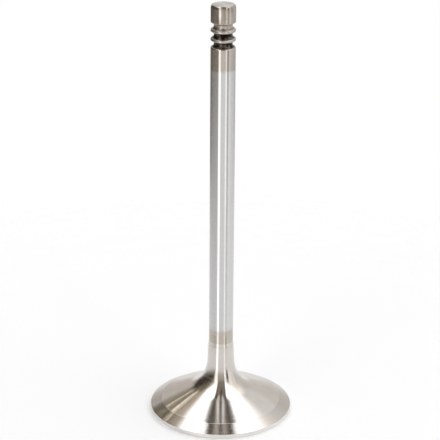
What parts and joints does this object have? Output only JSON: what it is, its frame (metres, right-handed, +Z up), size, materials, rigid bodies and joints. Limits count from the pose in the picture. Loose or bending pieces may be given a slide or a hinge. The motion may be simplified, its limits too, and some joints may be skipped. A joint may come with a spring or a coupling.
{
  "type": "engine valve",
  "caption": "Poppet valve of a piston engine: a straight round stem with keeper grooves below its tip, a swept neck, and a wide flat head with a conical seat face.",
  "frame": {"origin": "centre of the flat combustion face of the head, on the surface that the valve stands on", "axes": "+Z up the stem from the head to the tip; X and Y are any two directions across the head, because the valve is round"},
  "size_m": [0.0352, 0.0352, 0.105],
  "materials": {
    "valve_steel": "turned and ground heat-resisting steel with a plated stem"
  },
  "bodies": {
    "root": {"valve": "valve_steel"}
  },
  "joints": []
}
